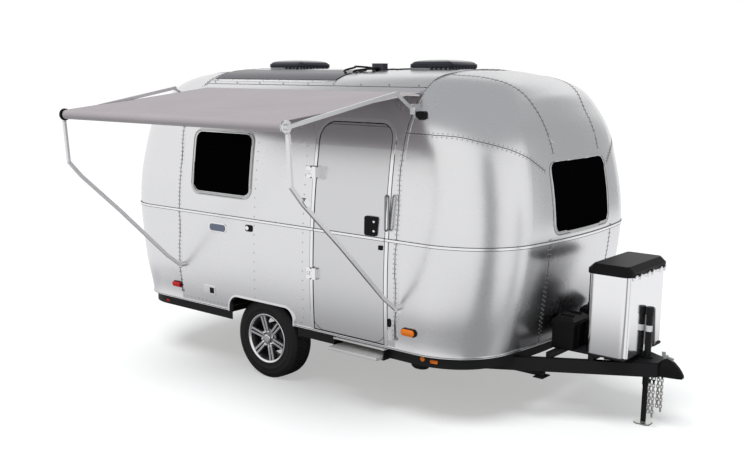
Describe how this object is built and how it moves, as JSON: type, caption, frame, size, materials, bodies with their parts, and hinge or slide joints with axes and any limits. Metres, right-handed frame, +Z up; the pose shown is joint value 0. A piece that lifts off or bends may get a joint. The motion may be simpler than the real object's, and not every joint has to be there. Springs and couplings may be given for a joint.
{
  "type": "travel caravan",
  "caption": "Single-axle aluminium touring caravan with rounded ends, side door, opened awning, nose jack, gas-bottle cover, stabiliser legs and ball coupling",
  "frame": {"origin": "centre of the 50.8 mm coupling ball in the coupler's socket; the ground is 0.437 m below", "axes": "+X forward along the drawbar, +Y to the caravan's left, +Z up; the door is on the right, at -Y"},
  "size_m": [4.9578, 3.6651, 2.678],
  "materials": {
    "skin": "clear-coated sheet with soft brushed reflections",
    "trim": "bright extrusion",
    "window": "dark tinted glass",
    "frame_grey": "satin light grey",
    "chassis": "satin black paint",
    "black_plastic": "grained black",
    "tyre": "matt rubber",
    "alloy": "machined cast alloy",
    "zinc": "zinc plated",
    "awning_cloth": "woven grey acrylic",
    "awning_metal": "satin anodised",
    "smoke": "smoked acrylic",
    "white_plastic": "moulded white",
    "solar": "dark cells under film",
    "amber": "amber lens",
    "red_lens": "red lens",
    "polished": "polished sheet",
    "floor_board": "plain board"
  },
  "bodies": {
    "caravan": {"arch_trims": "trim", "awning_arms": "awning_metal", "awning_brackets": "awning_metal", "awning_fabric": "awning_cloth", "awning_rafters": "awning_metal", "awning_roller": "awning_metal", "axle": "chassis", "battery_boxes": "black_plastic", "belt_trim": "trim", "coupler": "chassis", "cross_members": "chassis", "door_frame": "trim", "end_windows": "window", "floor": "floor_board", "front_cap": "skin", "gas_bottles": "awning_metal", "gas_cover": "polished", "gas_tray": "chassis", "grab_handle": "trim", "jack_crank": "chassis", "jack_tube": "chassis", "lower_trim": "trim", "main_rails": "chassis", "marker_lamps": "amber", "porch_lamp": "black_plastic", "rear_cap": "skin", "roof": "skin", "roof_panel": "solar", "roof_vents": "white_plastic", "safety_chain_left": "zinc", "safety_chain_right": "zinc", "side_windows": "window", "skirt": "chassis", "step_frame": "chassis", "tail_lamps": "red_lens", "tongue_plate": "chassis", "tongue_rails": "chassis", "vent_domes": "smoke", "wall_left": "skin", "wall_right": "skin", "wheel_boxes": "chassis", "window_frames": "frame_grey"},
    "wheel_right": {"tyre_right": "tyre", "rim_right": "alloy"},
    "wheel_left": {"tyre_left": "tyre", "rim_left": "alloy"},
    "door": {"door_panel": "skin", "door_trim": "trim", "door_hinges": "trim", "door_handle": "black_plastic"},
    "gas_lid": {"gas_lid": "black_plastic"},
    "jack_leg": {"jack_leg": "zinc"},
    "entry_step": {"step_tread": "chassis"},
    "stabiliser_front_right": {"stabiliser_front_right": "chassis"},
    "stabiliser_front_left": {"stabiliser_front_left": "chassis"},
    "stabiliser_rear_right": {"stabiliser_rear_right": "chassis"},
    "stabiliser_rear_left": {"stabiliser_rear_left": "chassis"}
  },
  "joints": [
    {"name": "wheel_right_spin", "type": "hinge", "parent": "caravan", "child": "wheel_right", "pos_m": [-3.03, -1.01, -0.092], "axis": [0, 1, 0], "continuous": true},
    {"name": "wheel_left_spin", "type": "hinge", "parent": "caravan", "child": "wheel_left", "pos_m": [-3.03, 1.01, -0.092], "axis": [0, 1, 0], "continuous": true},
    {"name": "door_swing", "type": "hinge", "parent": "caravan", "child": "door", "pos_m": [-2.41, -1.246, 0.98], "axis": [0, 0, -1], "range_deg": [0, 110]},
    {"name": "gas_lid_lift", "type": "hinge", "parent": "caravan", "child": "gas_lid", "pos_m": [-0.201, 0, 0.722], "axis": [0, 1, 0], "range_deg": [0, 95]},
    {"name": "jack_extend", "type": "slide", "parent": "caravan", "child": "jack_leg", "axis": [0, 0, 1], "range_m": [0, 0.28]},
    {"name": "step_slide", "type": "slide", "parent": "caravan", "child": "entry_step", "axis": [0, 1, 0], "range_m": [0, 0.2]},
    {"name": "stabiliser_front_right_drop", "type": "hinge", "parent": "caravan", "child": "stabiliser_front_right", "pos_m": [-1.29, -0.48, -0.067], "axis": [0, 1, 0], "range_deg": [0, 38]},
    {"name": "stabiliser_front_left_drop", "type": "hinge", "parent": "caravan", "child": "stabiliser_front_left", "pos_m": [-1.29, 0.48, -0.067], "axis": [0, 1, 0], "range_deg": [0, 38]},
    {"name": "stabiliser_rear_right_drop", "type": "hinge", "parent": "caravan", "child": "stabiliser_rear_right", "pos_m": [-4.13, -0.48, -0.067], "axis": [0, -1, 0], "range_deg": [0, 38]},
    {"name": "stabiliser_rear_left_drop", "type": "hinge", "parent": "caravan", "child": "stabiliser_rear_left", "pos_m": [-4.13, 0.48, -0.067], "axis": [0, -1, 0], "range_deg": [0, 38]}
  ]
}
